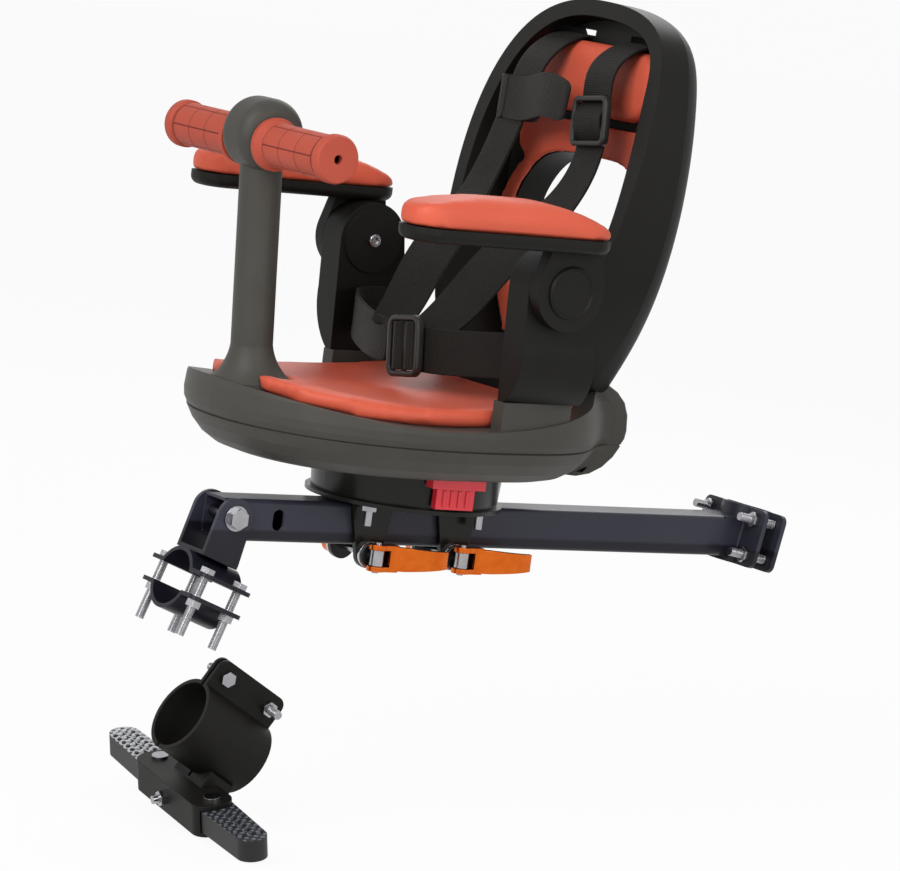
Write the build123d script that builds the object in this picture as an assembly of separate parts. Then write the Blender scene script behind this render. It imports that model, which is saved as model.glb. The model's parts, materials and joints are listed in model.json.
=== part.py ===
"""Front-mounted child bike seat on a square beam: the beam clamps to the seat post and the top tube,
the seat sits on a turning base that slides along the beam, and a folding footrest clamps to the down tube.
Millimetres. Origin on the seat-post axis at the height of the beam's axis; +X forward, +Y left, +Z up."""

import os
from math import cos, radians, sin

from build123d import *

os.makedirs("parts", exist_ok=True)

# Square beam
BEAM = 30.0
BEAM_WALL = 2.0
BEAM_CORNER = 4.0
BEAM_X0 = 26.0
BEAM_X1 = 460.0
SLOT_X = 416.0
SLOT = (9.0, 15.0)
PIVOT_X = 453.0
PIVOT_Z = 2.0
PIVOT_R = 4.0
PIVOT_PLAY = 0.08

# Clamps: bore radius, wall, flange faces either side of the split, half width, half length, bolt spots
POST_LEAN = 10.0
POST_R = 15.5
POST_WALL = 3.5
POST_FACE = 7.0
POST_HALF_W = 38.0
POST_HALF_L = 22.0
POST_BOLT = (28.0, 13.5)
TUBE_SLOPE = 20.0
TUBE_AT = (467.0, 0.0, -51.0)
TUBE_R = 20.0
TUBE_WALL = 3.0
TUBE_FACE_UP = 8.0
TUBE_FACE_DOWN = 6.0
TUBE_HALF_W = 38.0
TUBE_HALF_L = 22.0
TUBE_BOLT = (28.5, 14.5)
CROWN_FLAT = 0.8

# Fasteners
M6 = 3.0
M6_HOLE = 3.3
M6_THREAD = 3.02
M6_AF = 10.0
M6_HEAD = 4.0
M6_NUT = 5.0
M8_AF = 13.0

# Clevis between beam and top-tube clamp
EAR_IN = BEAM / 2 + 0.3
EAR_T = 3.3
EAR_R = 14.0

# Sliding turning base
BASE_X = 305.0
SADDLE_DX = 36.0
SADDLE_W = 35.0
SADDLE_T = 4.0
SADDLE_TOP = 2.5
SADDLE_PLAY = 0.1
EYE_R = 10.0
EYE_Z = -20.5
DISC_R = 71.0
DISC_T = 3.0
DRUM_R = 67.0
DRUM_R_TOP = 69.0
DRUM_TOP = 45.8
DRUM_WALL = 4.0
DRUM_FLOOR = 3.0
DRUM_BOLT_IN = 20.0
DRUM_BOLT = (DRUM_R - DRUM_BOLT_IN, 30.0)
LATCH_ANGLE = 85.0
LATCH_TOOTH = 24.0
LATCH_TOOTH_Z = (30.0, 36.0)
LATCH_OFF = 0.6
LATCH_GRIP_Z = (23.0, 38.0, 45.4)
LATCH_GRIP_HALF = (15.0, 21.0)
LATCH_PLAY = 0.4
TURN_MAX = 40.0

# Quick-release levers
SKEWER_R = 2.5
SKEWER_END = -34.0
BARREL_R = 5.2
BARREL_PIN_R = 2.4
CUP = ((9.5, 3.0), (8.2, 4.9))
END_NUT = (8.0, 12.0)
CAM_Y = 31.0
CAM_R = 6.5
LEVER_L = 56.0

# Seat shells: plan outline from nose to tail, then (height, inset of the outline) levels
PLAN = [(475, 0), (467, 47), (441, 87), (386, 117), (292, 121), (212, 92), (170, 55), (153, 0)]
PLAN_X = 314.0
PLAN_HALF = (161.0, 121.0)
SEAM_Z = 71.0
SEAM_LIP = 0.7
SEAM_INSET = 4.2
SEAT_UNDER = 46.0
LOWER = [(SEAT_UNDER, 32), (48.5, 23), (54, 14.5), (62, 7.5), (SEAM_Z - SEAM_LIP, 3)]
LOWER_HOLLOW = [(SEAT_UNDER + 3, 28), (SEAM_Z + 1, 8)]
UPPER = [(SEAM_Z + SEAM_LIP, 3), (76, 0.8), (82, 0), (93, 0.8), (102, 4), (109, 10), (114, 18)]
UPPER_HOLLOW = [(SEAM_Z - 1, 8), (103, 10)]
DECK_WALL = 3.0
DISH_X = 352.0
DISH_Z = 85.0
DISH_R = 560.0
SPIGOT_PLAY = 0.4
SPIGOT_R = min(DRUM_R, DRUM_R_TOP) - DRUM_WALL - SPIGOT_PLAY
SPIGOT_IN = SPIGOT_R - 4.1
HIP_X = (247.5, 311.5)
HIP_Y = 107.0
HIP_Z = (80.0, 107.0)
HIP_INSET = 2.4

# Cushion
CUSHION_INSET = 17.0
CUSHION_T = 12.0
CUSHION_REAR = 214.0

# Front post, head and bar
STEM_FOOT = (444.5, 98.0)
STEM_R = 14.8
FLARE_R = 28.0
FLARE_H = 24.0
HEAD_AT = (458.5, 268.0)
HEAD_R = 25.5
HEAD_HALF = 19.0
BAR_AT = (461.0, 263.0)
BAR_R = 11.0
BAR_HALF = 102.0
GRIP_R = 15.0

# Armrests
HUB_X = 287.0
HUB_Z = 189.0
HUB_R = 27.5
HUB_PIN_R = 4.0
HUB_BOSS = (24.0, 1.5)
PIN_HEAD = (4.8, 2.6)
ARM_Y = (120.0, 162.0)
POST_Y = (111.0, 136.0)
HUB_Y = (136.3, 147.0)
ARM_X = (261.0, 425.0)
ARM_Z = (217.0, 227.0)
PAD_TOP = 250.0

# Backrest, drawn in a frame leaning back from the rear deck
BACK_AT = (190.0, 0.0, 103.0)
BACK_LEAN = 4.8
BACK_FOOT = 42.0
BACK_HALF = [(58, 90), (140, 110), (226, 101)]
BACK_TOP = 281.0
BACK_FACE = 8.0
BACK_RIM = 48.0
BACK_RAKE = 8.0
LINER_T = 5.0
LINER_MARGIN = 14.0
LINER_BAND_Z = 177.0
BACK_SILL = 66.0
BACK_SILL_Z = 22.0
WINDOW_FOOT = 44.0
WINDOW_Z = (46.0, 170.0)
WINDOW_HALF = [(80, 70), (125, 80), (155, 64)]
HEAD_PAD_T = 13.0
SLOT_Z = 254.0
STRAP_Y = 41.0

# Harness webbing
STRAP_W = 32.0
STRAP_T = 1.8
STRAP_LIFT = 0.05
BUCKLE_AT = (326.0, 128.5)

# Footrest on the down tube, rolled a little toward the left, with a pitched channel for the pedals
FOOT_SLOPE = 30.0
FOOT_ROLL = 7.0
FOOT_AT = (439.0, 0.0, -157.0)
FOOT_R = 25.0
FOOT_WALL = 3.0
FOOT_SPLIT = 1.5
FOOT_HALF_L = 32.0
FOOT_BOLT = (39.0, 21.0)
FOOT_TOP = 50.0
FOOT_BASE = (-32.0, 22.0)
FOOT_BASE_D = (-26.0, -4.0)
STUD_AT = (14.0, -17.0)
STUD = (27.2, 42.5)
CHANNEL_AT = (-42.5, -11.0)
CHANNEL_PITCH = 43.0
CHANNEL_H = 8.4
CHANNEL_DEPTH = 13.5
CHANNEL_T = 3.0
CHANNEL_HALF = 56.0
PEDAL_T = 16.0
PEDAL_R = 13.0
PEDAL_PIN_Y = 43.0
PEDAL_PIN_R = 3.0
PEDAL_TIP = 116.0
PEDAL_TIP_R = 11.0
TREADS = 6
TREAD_Y = 66.0
TREAD_PITCH = 7.4
TREAD_HALF = 2.4
TREAD_H = 1.2
TREAD_Z = (1.6, 9.5)


def save(name, shape):
    export_step(shape, f"parts/{name}.step")


def group(name, solids):
    save(name, Compound(children=list(solids)))


def block(x, y, z):
    """Box between pairs of limits."""
    size = (x[1] - x[0], y[1] - y[0], z[1] - z[0])
    return Pos((x[0] + x[1]) / 2, (y[0] + y[1]) / 2, (z[0] + z[1]) / 2) * Box(*size)


def rod(at, axis, radius, start, stop):
    """Cylinder along an axis through a point."""
    base = Vector(*at) + Vector(*axis) * start
    return extrude(Plane(origin=base, z_dir=axis) * Circle(radius), amount=stop - start)


def hexagon(at, axis, across, start, stop):
    base = Vector(*at) + Vector(*axis) * start
    flat = Plane(origin=base, z_dir=axis) * RegularPolygon(across / 2, 6, major_radius=False)
    return extrude(flat, amount=stop - start)


def bolt(at, axis, radius, across, head, stop):
    """Hex-head bolt: the head sits on the point's plane, behind it along the axis."""
    return hexagon(at, axis, across, -head, 0) + rod(at, axis, radius, 0, stop)


def nut(at, axis, hole, across, height):
    return hexagon(at, axis, across, 0, height) - rod(at, axis, hole, -1, height + 1)


def jaw(bore, wall, face, half_w, half_l, bolts):
    """Pressed clamp half with its hump toward +X and flanges either side."""
    flange = block((face, face + wall), (-half_w, half_w), (-half_l, half_l))
    flange = fillet(flange.edges().filter_by(Axis.X), 6)
    body = Cylinder(bore + wall, 2 * half_l) + flange
    body -= Cylinder(bore, 2 * half_l + 2)
    body -= block((-100, face), (-100, 100), (-100, 100))
    for y in (-bolts[0], bolts[0]):
        for z in (-bolts[1], bolts[1]):
            body -= rod((0, y, z), (1, 0, 0), M6_HOLE, 0, face + wall + 5)
    return body


def trimmed(piece, *others):
    """Piece cut back to bear on its neighbours."""
    for other in others:
        piece = piece - other
    return Part(max(piece.solids(), key=lambda s: s.volume).wrapped)


def beam():
    tube = block((BEAM_X0, BEAM_X1), (-BEAM / 2, BEAM / 2), (-BEAM / 2, BEAM / 2))
    tube = fillet(tube.edges().filter_by(Axis.X), BEAM_CORNER)
    half = BEAM / 2 - BEAM_WALL
    core = block((BEAM_X0 - 1, BEAM_X1 + 1), (-half, half), (-half, half))
    tube -= fillet(core.edges().filter_by(Axis.X), BEAM_CORNER - BEAM_WALL)
    tube -= rod((PIVOT_X, 0, PIVOT_Z), (0, 1, 0), PIVOT_R + PIVOT_PLAY, -50, 50)
    slot = Plane.XZ * Pos(SLOT_X, 1) * SlotOverall(SLOT[1], SLOT[0], rotation=90)
    tube -= extrude(slot, amount=50, both=True)
    return tube


def seat_post_clamp():
    a = radians(POST_LEAN)
    frame = Plane(origin=(0, 0, 0), x_dir=(cos(a), 0, sin(a)), z_dir=(-sin(a), 0, cos(a)))
    half = jaw(POST_R, POST_WALL, POST_FACE, POST_HALF_W, POST_HALF_L, POST_BOLT)
    web = block((5, BEAM_X0), (-BEAM / 2, BEAM / 2), (-BEAM / 2, BEAM / 2))
    web -= frame * Cylinder(POST_R + 2, 120)
    save("seat_post_fixed_jaw", frame * half + web)
    save("seat_post_loose_jaw", frame * (Rot(0, 0, 180) * half))
    out = POST_FACE + POST_WALL
    spots = [(y, z) for y in (-POST_BOLT[0], POST_BOLT[0]) for z in (-POST_BOLT[1], POST_BOLT[1])]
    bolts = [bolt((-out, y, z), (1, 0, 0), M6, M6_AF, M6_HEAD, 2 * out + 16) for y, z in spots]
    nuts = [nut((out, y, z), (1, 0, 0), M6_THREAD, M6_AF, M6_NUT) for y, z in spots]
    group("seat_post_bolts", [frame * b for b in bolts])
    group("seat_post_nuts", [frame * n for n in nuts])


def tube_frame():
    a = radians(TUBE_SLOPE)
    return Plane(origin=TUBE_AT, x_dir=(-sin(a), 0, cos(a)), z_dir=(cos(a), 0, sin(a)))


def top_tube_clamp():
    frame = tube_frame()
    upper = jaw(TUBE_R, TUBE_WALL, TUBE_FACE_UP, TUBE_HALF_W, TUBE_HALF_L, TUBE_BOLT)
    crown = TUBE_R + TUBE_WALL - CROWN_FLAT
    upper -= block((crown, crown + 20), (-60, 60), (-60, 60))
    lower = jaw(TUBE_R, TUBE_WALL, TUBE_FACE_DOWN, TUBE_HALF_W, TUBE_HALF_L, TUBE_BOLT)
    save("top_tube_upper_jaw", frame * upper)
    save("top_tube_lower_jaw", frame * (Rot(0, 0, 180) * lower))
    top = TUBE_FACE_UP + TUBE_WALL
    low = -TUBE_FACE_DOWN - TUBE_WALL
    spots = [(y, z) for y in (-TUBE_BOLT[0], TUBE_BOLT[0]) for z in (-TUBE_BOLT[1], TUBE_BOLT[1])]
    bolts = [bolt((top, y, z), (-1, 0, 0), M6, M6_AF, M6_HEAD, 46) for y, z in spots]
    nuts = [nut((low, y, z), (-1, 0, 0), M6_THREAD, M6_AF, M6_NUT) for y, z in spots]
    group("top_tube_bolts", [frame * b for b in bolts])
    group("top_tube_nuts", [frame * n for n in nuts])

    pivot = frame.to_local_coords(Vector(PIVOT_X, 0, PIVOT_Z))
    foot = block((crown, crown + 3), (-EAR_IN - EAR_T, EAR_IN + EAR_T), (-13, 17))
    side = Plane(origin=(0, EAR_IN, 0), x_dir=(1, 0, 0), z_dir=(0, 1, 0))
    base = Pos(crown + 1.5, -2) * Rectangle(3, 30)
    eye = Pos(pivot.X, -pivot.Z) * Circle(EAR_R)
    ear = extrude(side * make_hull(base.edges() + eye.edges()), amount=EAR_T)
    clevis = foot + ear + mirror(ear, Plane.XZ)
    clevis -= rod((pivot.X, 0, pivot.Z), (0, 1, 0), PIVOT_R + 0.02, -40, 40)
    save("pivot_clevis", frame * clevis)

    out = EAR_IN + EAR_T
    at = (PIVOT_X, out, PIVOT_Z)
    pin = rod(at, (0, 1, 0), 9, 0, 1.6) + hexagon(at, (0, 1, 0), M8_AF, 1.6, 6.5)
    pin += rod(at, (0, 1, 0), PIVOT_R, -2 * out - 9, 0)
    save("pivot_bolt", pin)
    save("pivot_nut", nut((PIVOT_X, -out, PIVOT_Z), (0, -1, 0), PIVOT_R + 0.02, M8_AF, 6.5))


def base_assembly():
    top = BEAM / 2 + SADDLE_PLAY
    disc_z = top + SADDLE_TOP
    inner = BEAM / 2 + 0.3
    outer = inner + SADDLE_T
    spots = [(sx * DRUM_BOLT[0], sy * DRUM_BOLT[1]) for sx in (-1, 1) for sy in (-1, 1)]

    for name, dx in (("front_saddle", SADDLE_DX), ("rear_saddle", -SADDLE_DX)):
        x = BASE_X + dx
        cap = block((x - SADDLE_W / 2, x + SADDLE_W / 2), (-outer, outer), (top, disc_z))
        shape = make_hull((Pos(x, disc_z - 1.5) * Rectangle(SADDLE_W, 3)).edges()
                          + (Pos(x, EYE_Z) * Circle(EYE_R)).edges())
        legs = extrude(Plane.XZ * shape, amount=outer, both=True)
        legs -= block((x - 60, x + 60), (-inner, inner), (-60, 60))
        saddle = cap + legs - rod((x, 0, EYE_Z), (0, 1, 0), SKEWER_R + 0.02, -40, 40)
        save(name, saddle)

    disc = rod((BASE_X, 0, disc_z), (0, 0, 1), DISC_R, 0, DISC_T)
    low = disc_z + DISC_T
    profile = Polyline((0, low), (DRUM_R, low), (DRUM_R_TOP, DRUM_TOP), (DRUM_R_TOP - DRUM_WALL, DRUM_TOP),
                       (DRUM_R - DRUM_WALL, low + DRUM_FLOOR), (0, low + DRUM_FLOOR), close=True)
    drum = Pos(BASE_X, 0, 0) * revolve(Plane.XZ * make_face(profile), Axis.Z)
    for dx, dy in spots:
        hole = rod((BASE_X + dx, dy, 0), (0, 0, 1), M6_HOLE, 0, 60)
        disc -= hole
        drum -= hole
    a = radians(LATCH_ANGLE)
    latch_frame = Plane(origin=(BASE_X, 0, 0), x_dir=(cos(a), sin(a), 0), z_dir=(0, 0, 1))
    half = LATCH_TOOTH / 2
    gate_z = (LATCH_TOOTH_Z[0] - LATCH_PLAY, LATCH_TOOTH_Z[1] + LATCH_PLAY)
    gate = block((DRUM_R - 17, DRUM_R_TOP + 11), (-half - LATCH_PLAY, half + LATCH_PLAY), gate_z)
    drum -= latch_frame * gate
    save("turntable_disc", disc)
    save("drum_cup", drum)

    floor = low + DRUM_FLOOR
    group("drum_bolts", [bolt((BASE_X + dx, dy, floor), (0, 0, -1), M6, M6_AF, M6_HEAD, floor - 2)
                         for dx, dy in spots])
    group("drum_nuts", [nut((BASE_X + dx, dy, disc_z), (0, 0, -1), M6_THREAD, M6_AF, M6_NUT)
                        for dx, dy in spots])

    near = max(DRUM_R, DRUM_R_TOP) + LATCH_OFF
    tooth = block((near - 9.6, near + 1.4), (-half, half), LATCH_TOOTH_Z)
    foot, ledge, top_z = LATCH_GRIP_Z
    body_half, ledge_half = LATCH_GRIP_HALF
    grip = block((near, near + 6.4), (-body_half, body_half), (foot, top_z))
    grip += block((near, near + 10.4), (-ledge_half, ledge_half), (ledge, top_z))
    for y in (-9, -3, 3, 9):
        grip += block((near + 5.4, near + 7.6), (y - 1.2, y + 1.2), (foot + 2, ledge - 1.5))
    save("release_latch", latch_frame * (tooth + grip))

    skewers = []
    cups = []
    ends = []
    for dx in (SADDLE_DX, -SADDLE_DX):
        x = BASE_X + dx
        at = (x, 0, EYE_Z)
        skewer = rod(at, (0, 1, 0), SKEWER_R, SKEWER_END, CAM_Y)
        skewer += rod((x, CAM_Y, EYE_Z), (0, 0, 1), BARREL_R, -5.5, 5.5)
        skewer += rod((x, CAM_Y, EYE_Z), (0, 0, 1), BARREL_PIN_R, -11, 11)
        skewers.append(skewer)
        (wide, step), (narrow, rise) = CUP
        for side in (1, -1):
            cup = rod(at, (0, side, 0), wide, outer, outer + step)
            cup += rod(at, (0, side, 0), narrow, outer + step, outer + rise)
            cups.append(cup - rod(at, (0, side, 0), SKEWER_R + 0.02, 0, 60))
        knob = rod(at, (0, -1, 0), END_NUT[0], outer + rise, outer + END_NUT[1])
        ends.append(knob - rod(at, (0, -1, 0), SKEWER_R + 0.02, 0, 60))
    group("qr_skewers", skewers)
    group("qr_cup_washers", cups)
    group("qr_end_nuts", ends)

    for name, dx in (("qr_lever_front", SADDLE_DX), ("qr_lever_rear", -SADDLE_DX)):
        save(name, Pos(BASE_X + dx, CAM_Y, EYE_Z) * lever())


def lever():
    """Cam lever pointing rearward, its pin on the local Z axis."""
    cheek = rod((0, 0, 5.9), (0, 0, 1), CAM_R, 0, 3.6) + block((-12, 0), (-4.6, 5.4), (5.9, 9.5))
    cheeks = cheek + mirror(cheek, Plane.XY)
    cheeks += block((-15, -8), (-4.6, 5.4), (-9.5, 9.5))
    spine = Spline((-11, 0.6), (-28, 4.6), (-44, 5.2), (-LEVER_L, 3.2))
    back = Spline((-11, 5.4), (-28, 9.2), (-44, 9.6), (-LEVER_L, 6.4))
    edge = Line(spine @ 1, back @ 1)
    root = Line(spine @ 0, back @ 0)
    blade = extrude(make_face([spine, edge, back, root]), amount=8.5, both=True)
    taper = Plane.XZ * make_face(Polyline((-8, 9.5), (-20, 8.5), (-LEVER_L, 6.2), (-LEVER_L - 1, 0),
                                          (-LEVER_L, -6.2), (-20, -8.5), (-8, -9.5), close=True))
    blade = blade & extrude(taper, amount=30, both=True)
    body = cheeks + blade
    return body - rod((0, 0, 0), (0, 0, 1), BARREL_PIN_R + 0.06, -20, 20)


def plan_wire(z, inset):
    sx = 1 - inset / PLAN_HALF[0]
    sy = 1 - inset / PLAN_HALF[1]
    pts = [(PLAN_X + (x - PLAN_X) * sx, y * sy, z) for x, y in PLAN]
    left = Spline(*pts, tangents=((0, 1, 0), (0, -1, 0)))
    return Wire([left, mirror(left, Plane.XZ).edge()])


def plan_solid(levels):
    return Part(Solid.make_loft([plan_wire(z, inset) for z, inset in levels], True).wrapped)


def dish(radius):
    return rod((DISH_X, 0, DISH_Z + DISH_R), (0, 1, 0), radius, -300, 300)


def seat():
    lower = plan_solid(LOWER + [(SEAM_Z, SEAM_INSET)]) - plan_solid(LOWER_HOLLOW)
    ring = rod((BASE_X, 0, 28), (0, 0, 1), SPIGOT_R, 0, SEAT_UNDER - 28)
    ring -= rod((BASE_X, 0, 20), (0, 0, 1), SPIGOT_IN, 0, 40)
    first = radians(LATCH_ANGLE - TURN_MAX - 13)
    last = radians(LATCH_ANGLE + 13)
    steps = [first + (last - first) * i / 8 for i in range(9)]
    fan = [(BASE_X, 0)] + [(BASE_X + 95 * cos(t), 95 * sin(t)) for t in steps]
    ring -= Pos(0, 0, 29.4) * extrude(make_face(Polyline(*fan, close=True)), amount=7.2)
    save("seat_lower_shell", lower + ring)

    solid = plan_solid([(SEAM_Z, SEAM_INSET)] + UPPER) - dish(DISH_R)
    hips = extrude(Face(plan_wire(HIP_Z[0], HIP_INSET)), amount=HIP_Z[1] - HIP_Z[0], dir=(0, 0, 1))
    for side in (-1, 1):
        solid += hips & block(HIP_X, sorted((side * HIP_Y, side * 200)), (0, 200))
    hollow = plan_solid(UPPER_HOLLOW) - dish(DISH_R + DECK_WALL)
    save("seat_upper_shell", solid - hollow)

    outline = plan_wire(70, CUSHION_INSET)
    pad = extrude(Face(outline), amount=70, dir=(0, 0, 1)) & dish(DISH_R)
    pad -= dish(DISH_R - CUSHION_T)
    pad -= block((0, CUSHION_REAR), (-200, 200), (0, 300))
    return solid, fillet(pad.edges().group_by(Axis.Z)[-1], 4)


def front_post(deck):
    lean = Vector(HEAD_AT[0] - STEM_FOOT[0], 0, HEAD_AT[1] - STEM_FOOT[1])
    axis = Plane(origin=(STEM_FOOT[0], 0, STEM_FOOT[1]), x_dir=(0, 1, 0), z_dir=lean)
    sweep = ThreePointArc((FLARE_R, 0), (STEM_R + 5, FLARE_H * 0.4), (STEM_R, FLARE_H))
    inside = Polyline(sweep @ 1, (0, FLARE_H), (0, -20), (FLARE_R, -20), sweep @ 0)
    flare = revolve(Plane.XZ * make_face([sweep, inside]), Axis.Z)
    post = axis * (flare + extrude(Circle(STEM_R), amount=lean.length - 6))
    head = rod((HEAD_AT[0], 0, HEAD_AT[1]), (0, 1, 0), HEAD_R, -HEAD_HALF, HEAD_HALF)
    head = fillet(head.edges(), 11)
    body = post + head
    body -= rod((BAR_AT[0], 0, BAR_AT[1]), (0, 1, 0), BAR_R + 0.02, -60, 60)
    return trimmed(body, deck)


def bar_and_grips():
    at = (BAR_AT[0], 0, BAR_AT[1])
    tube = rod(at, (0, 1, 0), BAR_R, -BAR_HALF, BAR_HALF) - rod(at, (0, 1, 0), BAR_R - 2, -200, 200)
    save("handlebar_tube", tube)
    first = HEAD_HALF + 1.0
    last = BAR_HALF + 3.5
    profile = Polyline((BAR_R + 0.02, first), (GRIP_R + 3.5, first), (GRIP_R + 3.5, first + 3.5),
                       (GRIP_R, first + 5.5), (GRIP_R, last - 7), (GRIP_R + 1.8, last - 5),
                       (GRIP_R + 1.8, last - 1.5), (GRIP_R, last), (3.2, last), (3.2, BAR_HALF),
                       (BAR_R + 0.02, BAR_HALF), close=True)
    grip = revolve(make_face(profile), Axis.Y)
    save("grip_left", Pos(*at) * grip)
    save("grip_right", Pos(*at) * mirror(grip, Plane.XZ))


def armrests(deck):
    posts = []
    foot_z = HIP_Z[1]
    foot_y = PLAN_HALF[1] - HIP_INSET - 0.5
    base = Pos(sum(HIP_X) / 2, foot_z + 1) * Rectangle(HIP_X[1] - HIP_X[0], 2)
    bulge = ThreePointArc((foot_y, foot_z), (POST_Y[1] - 3, foot_z + 19), (POST_Y[1], foot_z + 43))
    above = HUB_Z + 40
    sides = Polyline(bulge @ 1, (POST_Y[1], above), (POST_Y[0], above), (POST_Y[0], foot_z), bulge @ 0)
    section = extrude(Plane.YZ * make_face([bulge, sides]), amount=HUB_X + 100)
    hub = Pos(HUB_X, HUB_Z) * Circle(HUB_R)
    shape = make_hull(base.edges() + hub.edges())
    for name, side in (("left", 1), ("right", -1)):
        at = (HUB_X, 0, HUB_Z)
        half = section if side > 0 else mirror(section, Plane.XZ)
        post = extrude(Plane.XZ * shape, amount=200, both=True) & half
        post += rod(at, (0, side, 0), HUB_BOSS[0], POST_Y[0] - HUB_BOSS[1], POST_Y[0] + 1)
        post = trimmed(post, deck) - rod(at, (0, 1, 0), HUB_PIN_R + 0.02, -200, 200)
        save(f"armrest_post_{name}", post)
        posts.append(post)

        y0, y1 = (side * HUB_Y[0], side * HUB_Y[1])
        flat = Plane(origin=(0, y0, 0), x_dir=(1, 0, 0), z_dir=(0, -1, 0))
        neck = make_hull(hub.edges() + (Pos(HUB_X - 2, ARM_Z[0] + 3) * Rectangle(40, 5)).edges())
        arm = extrude(flat * neck, amount=-(y1 - y0))
        middle = side * sum(ARM_Y) / 2
        wide = ARM_Y[1] - ARM_Y[0]
        long = ARM_X[1] - ARM_X[0]
        outline = Pos(sum(ARM_X) / 2, middle) * RectangleRounded(long, wide, 19)
        tray = Pos(0, 0, ARM_Z[0]) * extrude(outline, amount=ARM_Z[1] - ARM_Z[0])
        tray = fillet(tray.edges().group_by(Axis.Z)[0], 6)
        arm += tray
        arm -= rod(at, (0, 1, 0), HUB_PIN_R + 0.06, -200, 200)
        save(f"armrest_arm_{name}", arm)
        rise = PAD_TOP - ARM_Z[1]
        heel, toe = (ARM_X[0] - 1, ARM_X[1] + 1)
        crown = Spline((heel, 4), (heel + 46, rise - 3), (toe - 56, rise), (toe, rise - 9))
        ends = Polyline(crown @ 1, (toe, 0), (heel, 0), crown @ 0)
        arch = Plane(origin=(0, middle, ARM_Z[1]), x_dir=(1, 0, 0), z_dir=(0, -1, 0)) * make_face([crown, ends])
        soft = Pos(0, 0, ARM_Z[1]) * extrude(outline, amount=rise)
        soft = fillet(soft.edges().group_by(Axis.Z)[-1], 14) & extrude(arch, amount=60, both=True)
        save(f"armrest_pad_{name}", soft)

        cap = HUB_Y[1] + 0.2
        seat_y = POST_Y[0] - HUB_BOSS[1]
        pin = rod(at, (0, side, 0), HUB_PIN_R, seat_y, cap)
        pin += rod(at, (0, side, 0), 18.5, cap, cap + 2.5)
        pin += rod(at, (0, side, 0), PIN_HEAD[0], seat_y - PIN_HEAD[1], seat_y)
        save(f"hub_pin_{name}", pin)
    return posts


def egg(x, foot, low, sides, top):
    """Egg outline at one depth: a foot line, then a curve up each side to the top."""
    right = [(x, foot, low)] + [(x, half, height) for height, half in sides] + [(x, 0, top)]
    left = [(px, -py, pz) for px, py, pz in reversed(right)]
    one = Spline(*right, tangents=((0, 0.7, 1), (0, -1, 0)))
    two = Spline(*left, tangents=((0, -1, 0), (0, 0.7, -1)))
    return Wire([one, two, Line(left[-1], right[0])])


def back_solid(levels, foot, low, ruled=False):
    """Loft of the backrest outline through (depth, share of the width, share of the height)."""
    rings = []
    for x, sy, sz in levels:
        sides = [(h * sz, w * sy) for h, w in BACK_HALF]
        rings.append(egg(x, foot * sy, low, sides, BACK_TOP * sz))
    return Part(Solid.make_loft(rings, ruled).wrapped)


def back_frame():
    a = radians(BACK_LEAN)
    return Plane(origin=BACK_AT, x_dir=(cos(a), 0, sin(a)), z_dir=(-sin(a), 0, cos(a)))


def backrest(deck):
    frame = back_frame()
    shell = back_solid([(-16, 0.74, 0.93), (-10, 0.90, 0.975), (6, 1.0, 1.0)], BACK_FOOT, -12)
    shell += back_solid([(6, 1.0, 1.0), (72, 1.0, 1.0)], BACK_FOOT, -12, ruled=True)
    shell -= back_solid([(BACK_FACE, 0.86, 0.955), (80, 0.90, 0.965)], BACK_SILL, BACK_SILL_Z, ruled=True)
    tilt = radians(BACK_RAKE)
    front = Plane(origin=(BACK_RIM, 0, 120), x_dir=(0, 1, 0), z_dir=(cos(tilt), 0, sin(tilt)))
    shell = split(shell, bisect_by=front, keep=Keep.BOTTOM)
    shell -= extrude(Face(window(-60, 0)), amount=100, dir=(1, 0, 0))
    for y in (-STRAP_Y, STRAP_Y):
        shell -= block((-60, 20), (y - 19, y + 19), (SLOT_Z, SLOT_Z + 6))
    shell = frame * shell - deck
    save("backrest_shell", shell)

    pad_face = Plane(origin=(BACK_FACE, 0, 0), x_dir=(0, 1, 0), z_dir=(1, 0, 0))
    head = extrude(pad_face * (Pos(0, 225) * RectangleRounded(150, 52, 25)), amount=HEAD_PAD_T)
    save("head_pad", frame * fillet(head.edges().group_by(Axis.X)[-1], 7) - shell)
    liner = extrude(Face(window(BACK_FACE, LINER_MARGIN)), amount=LINER_T, dir=(1, 0, 0))
    band = Pos(0, LINER_BAND_Z) * RectangleRounded(172, 32, 15)
    liner += extrude(pad_face * band, amount=LINER_T)
    liner -= extrude(Face(window(-60, 0)), amount=100, dir=(1, 0, 0))
    save("back_liner", frame * liner - shell)
    return shell


def window(x, margin):
    """Opening of the backrest, or its outline moved out by a margin."""
    low, top = WINDOW_Z
    sides = [(height, half + margin) for height, half in WINDOW_HALF]
    return egg(x, WINDOW_FOOT + margin, low - margin, sides, top + margin)


def strap(route, width, thick):
    """Flat webbing through hand-chosen stations: a middle point and the direction across the web."""
    spots = [Vector(*p) for p, _ in route]
    rings = []
    for i, (_, across) in enumerate(route):
        along = (spots[min(i + 1, len(spots) - 1)] - spots[max(i - 1, 0)]).normalized()
        wide = Vector(*across)
        wide = (wide - along * wide.dot(along)).normalized() * (width / 2)
        thin = along.cross(wide).normalized() * (thick / 2)
        corners = [wide + thin, wide - thin, -wide - thin, -wide + thin]
        rings.append(Wire.make_polygon([spots[i] + c for c in corners]))
    return Part(Solid.make_loft(rings, True).wrapped)


def buckle(width, height, thick, bars):
    """Moulded slide frame lying in XY with its bars along Y."""
    frame = fillet(Box(width, height, thick).edges().filter_by(Axis.Z), 4)
    pitch = (width - 7) / (bars + 1)
    for i in range(bars + 1):
        frame -= Pos((i - bars / 2) * pitch, 0, 0) * Box(pitch - 3, height - 9, thick + 2)
    return frame


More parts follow.
